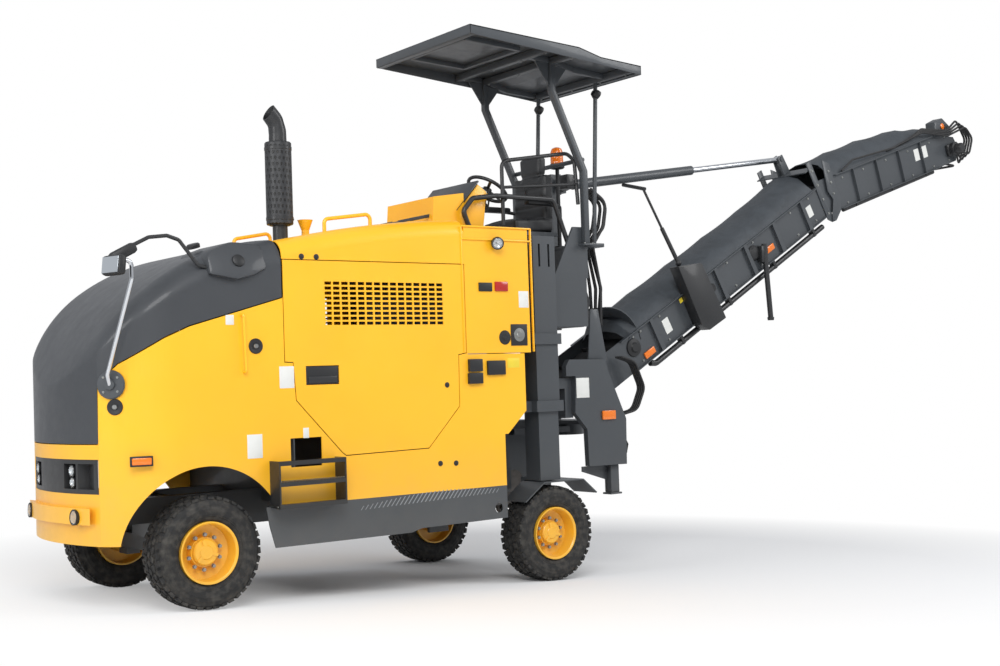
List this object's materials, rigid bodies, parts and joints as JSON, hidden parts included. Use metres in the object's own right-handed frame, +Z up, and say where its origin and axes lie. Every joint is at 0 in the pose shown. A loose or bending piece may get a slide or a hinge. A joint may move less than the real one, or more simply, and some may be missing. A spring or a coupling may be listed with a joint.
{
  "type": "compact cold planer on four wheels",
  "caption": "Compact cold milling machine: rounded engine body on wheels, lifting rear legs, milling drum, open operator stand with canopy, and a long folding discharge conveyor.",
  "frame": {"origin": "on the ground, at the centre of the bounding box in plan", "axes": "+X forward to the engine end, +Y to the left, +Z up"},
  "size_m": [9.9287, 2.121, 4.3838],
  "materials": {
    "yellow_paint": "gloss",
    "grey_paint": "satin",
    "black_paint": "satin",
    "tyre_rubber": "matte",
    "seat_vinyl": "matte",
    "bright_steel": "polished",
    "wear_steel": "worn",
    "cast_iron": "matte"
  },
  "bodies": {
    "frame": {"front_axle": "grey_paint", "leg_guides": "grey_paint", "chassis_frame": "grey_paint", "engine_block": "cast_iron", "side_panel_left": "yellow_paint", "side_panel_right": "yellow_paint", "top_cover": "yellow_paint", "front_bumper": "yellow_paint", "lamp_box": "black_paint", "rear_cabinet": "yellow_paint", "exhaust_stack": "black_paint", "grab_rails": "yellow_paint", "dash_console": "yellow_paint", "platform": "grey_paint", "seat_frame": "grey_paint", "seat_cushions": "seat_vinyl", "roof_panel": "grey_paint", "roof_frame": "grey_paint", "beacon": "black_paint", "hand_rails": "black_paint", "mirrors": "grey_paint", "access_step": "black_paint", "drum_housing": "grey_paint", "rear_cover": "grey_paint", "slew_bracket": "grey_paint", "conveyor_tower": "grey_paint"},
    "hood": {"front_hood": "grey_paint"},
    "left_door": {"door_left": "yellow_paint"},
    "right_door": {"door_right": "yellow_paint"},
    "instrument_lid": {"dash_lid": "grey_paint"},
    "steer": {"steering_wheel": "black_paint"},
    "left_knuckle": {"knuckle_left": "grey_paint"},
    "right_knuckle": {"knuckle_right": "grey_paint"},
    "front_left_wheel": {"tyre_front_left": "tyre_rubber", "rim_front_left": "yellow_paint"},
    "front_right_wheel": {"tyre_front_right": "tyre_rubber", "rim_front_right": "yellow_paint"},
    "rear_left_wheel": {"tyre_rear_left": "tyre_rubber", "rim_rear_left": "yellow_paint"},
    "rear_right_wheel": {"tyre_rear_right": "tyre_rubber", "rim_rear_right": "yellow_paint"},
    "left_leg": {"leg_left": "grey_paint"},
    "right_leg": {"leg_right": "grey_paint"},
    "drum": {"milling_drum": "wear_steel"},
    "scraper_blade": {"scraper": "grey_paint"},
    "slew": {"conveyor_slew": "grey_paint"},
    "lower_conveyor": {"conveyor_lower": "grey_paint"},
    "upper_conveyor": {"conveyor_upper": "grey_paint"},
    "swivel": {"strut_swivel": "grey_paint"},
    "strut": {"strut_tube": "grey_paint"},
    "strut_piston": {"strut_rod": "bright_steel"}
  },
  "joints": [
    {"name": "hood_tilt", "type": "hinge", "parent": "frame", "child": "hood", "pos_m": [3.61693, 0.0505, 2.34026], "axis": [0, -1, 0], "range_deg": [0, 45]},
    {"name": "left_door_swing", "type": "hinge", "parent": "frame", "child": "left_door", "pos_m": [2.13839, 0.8505, 1.60439], "axis": [0.0536, 0, 0.9986], "range_deg": [0, 110]},
    {"name": "right_door_swing", "type": "hinge", "parent": "frame", "child": "right_door", "pos_m": [2.13839, -0.7495, 1.60439], "axis": [-0.0536, 0, -0.9986], "range_deg": [0, 110]},
    {"name": "lid_tilt", "type": "hinge", "parent": "frame", "child": "instrument_lid", "pos_m": [2.43144, 0.0505, 2.58711], "axis": [0, 1, 0], "range_deg": [0, 60]},
    {"name": "steering_wheel_spin", "type": "hinge", "parent": "frame", "child": "steer", "pos_m": [1.48851, 0.1705, 2.9311], "axis": [-0.4895, 0, 0.872], "continuous": true},
    {"name": "left_kingpin", "type": "hinge", "parent": "frame", "child": "left_knuckle", "pos_m": [4.05396, 0.5505, 0.35], "axis": [0.0536, 0, 0.9986], "range_deg": [-30, 30]},
    {"name": "right_kingpin", "type": "hinge", "parent": "frame", "child": "right_knuckle", "pos_m": [4.05396, -0.4495, 0.35], "axis": [0.0536, 0, 0.9986], "range_deg": [-30, 30]},
    {"name": "front_left_spin", "type": "hinge", "parent": "left_knuckle", "child": "front_left_wheel", "pos_m": [4.05396, 0.7345, 0.35], "axis": [0, 1, 0], "continuous": true},
    {"name": "front_right_spin", "type": "hinge", "parent": "right_knuckle", "child": "front_right_wheel", "pos_m": [4.05396, -0.6335, 0.35], "axis": [0, 1, 0], "continuous": true},
    {"name": "left_leg_slide", "type": "slide", "parent": "frame", "child": "left_leg", "axis": [0.0536, 0, 0.9986], "range_m": [-0.1, 0.25]},
    {"name": "right_leg_slide", "type": "slide", "parent": "frame", "child": "right_leg", "axis": [0.0536, 0, 0.9986], "range_m": [-0.1, 0.25]},
    {"name": "rear_left_spin", "type": "hinge", "parent": "left_leg", "child": "rear_left_wheel", "pos_m": [1.24396, 0.6545, 0.35], "axis": [0, 1, 0], "continuous": true},
    {"name": "rear_right_spin", "type": "hinge", "parent": "right_leg", "child": "rear_right_wheel", "pos_m": [1.24396, -0.9295, 0.35], "axis": [0, 1, 0], "continuous": true},
    {"name": "drum_spin", "type": "hinge", "parent": "frame", "child": "drum", "pos_m": [0.91785, -0.4495, 0.69345], "axis": [0, 1, 0], "continuous": true},
    {"name": "scraper_swing", "type": "hinge", "parent": "frame", "child": "scraper_blade", "pos_m": [0.5449, -0.4495, 1.05895], "axis": [0, 1, 0], "range_deg": [0, 45]},
    {"name": "conveyor_slewing", "type": "hinge", "parent": "frame", "child": "slew", "pos_m": [0.37197, -0.1495, 1.15835], "axis": [0.0536, 0, 0.9986], "range_deg": [-25, 25]},
    {"name": "conveyor_luff", "type": "hinge", "parent": "slew", "child": "lower_conveyor", "pos_m": [0.30826, -0.1495, 1.4642], "axis": [0, 1, 0], "range_deg": [-6, 10]},
    {"name": "conveyor_fold", "type": "hinge", "parent": "lower_conveyor", "child": "upper_conveyor", "pos_m": [-2.68213, -0.1495, 3.13958], "axis": [0, -1, 0], "range_deg": [0, 100]},
    {"name": "swivel_slewing", "type": "hinge", "parent": "frame", "child": "swivel", "pos_m": [0.47908, -0.1495, 3.15548], "axis": [0.0536, 0, 0.9986], "range_deg": [-26, 26]},
    {"name": "strut_pivot", "type": "hinge", "parent": "swivel", "child": "strut", "pos_m": [0.3993, -0.1495, 3.16176], "axis": [0, 1, 0], "range_deg": [-7.79, 12.32]},
    {"name": "strut_stroke", "type": "slide", "parent": "strut", "child": "strut_piston", "axis": [-0.9794, 0, 0.202], "range_m": [-0.2999, 0.184]}
  ],
  "couplings": [
    {"joint": "right_kingpin", "follows": "left_kingpin", "ratio": 1},
    {"joint": "swivel_slewing", "follows": "conveyor_slewing", "ratio": 1},
    {"joint": "strut_pivot", "follows": "conveyor_luff", "ratio": 1.1324},
    {"joint": "strut_stroke", "follows": "conveyor_luff", "m_per_rad": -1.6613}
  ]
}
